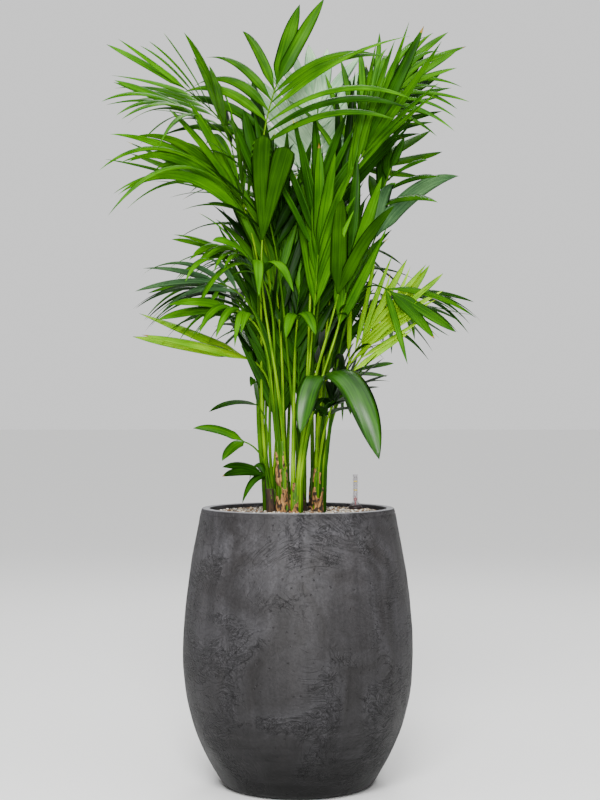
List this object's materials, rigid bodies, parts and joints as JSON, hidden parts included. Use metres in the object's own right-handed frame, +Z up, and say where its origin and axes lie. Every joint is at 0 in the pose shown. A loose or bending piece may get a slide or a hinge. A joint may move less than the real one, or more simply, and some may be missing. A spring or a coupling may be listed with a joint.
{
  "type": "potted kentia palm",
  "caption": "Clump-forming feather palm with arching pinnate fronds on slender sheathed stems, in a tall egg-shaped planter topped with mineral granulate.",
  "frame": {"origin": "centre of the planter's flat underside", "axes": "+Z up, -Y toward the side first seen, +X to its right"},
  "size_m": [0.8985, 1.1126, 1.8576],
  "materials": {
    "fibre_clay": "matt trowelled fibre clay, anthracite",
    "granulate": "loose pale mineral chips",
    "dark_plastic": "moulded, dark brown",
    "clear_plastic": "clear moulded tube",
    "red_plastic": "moulded, red",
    "leaf_sheath": "fibrous green and brown leaf sheaths",
    "leaf": "glossy pleated leaflets, mid to yellow-green"
  },
  "bodies": {
    "root": {"planter": "fibre_clay", "granulate": "granulate", "gauge_collar": "dark_plastic", "gauge_tube": "clear_plastic", "gauge_float": "red_plastic", "stem_back_left": "leaf_sheath", "stem_back_right": "leaf_sheath", "stem_front": "leaf_sheath", "stem_front_left": "leaf_sheath", "stem_left": "leaf_sheath", "stem_middle": "leaf_sheath", "stem_right": "leaf_sheath", "stem_small": "leaf_sheath", "frond_back_1": "leaf", "frond_back_2": "leaf", "frond_back_3": "leaf", "frond_back_4": "leaf", "frond_back_5": "leaf", "frond_back_high": "leaf", "frond_back_pale": "leaf", "frond_bifid": "leaf", "frond_centre": "leaf", "frond_centre_back": "leaf", "frond_centre_left": "leaf", "frond_centre_right": "leaf", "frond_front_right": "leaf", "frond_inner_front": "leaf", "frond_inner_left": "leaf", "frond_inner_low": "leaf", "frond_inner_right": "leaf", "frond_left_arching": "leaf", "frond_left_bundle": "leaf", "frond_left_dark": "leaf", "frond_left_drooping": "leaf", "frond_left_hanging": "leaf", "frond_left_low": "leaf", "frond_left_middle": "leaf", "frond_right_arch": "leaf", "frond_right_broad": "leaf", "frond_right_bundle": "leaf", "frond_right_dark": "leaf", "frond_right_fan": "leaf", "frond_right_low": "leaf", "frond_right_upper": "leaf", "frond_small_1": "leaf", "frond_small_2": "leaf", "frond_small_3": "leaf", "frond_top": "leaf", "frond_upper_left": "leaf"}
  },
  "joints": []
}
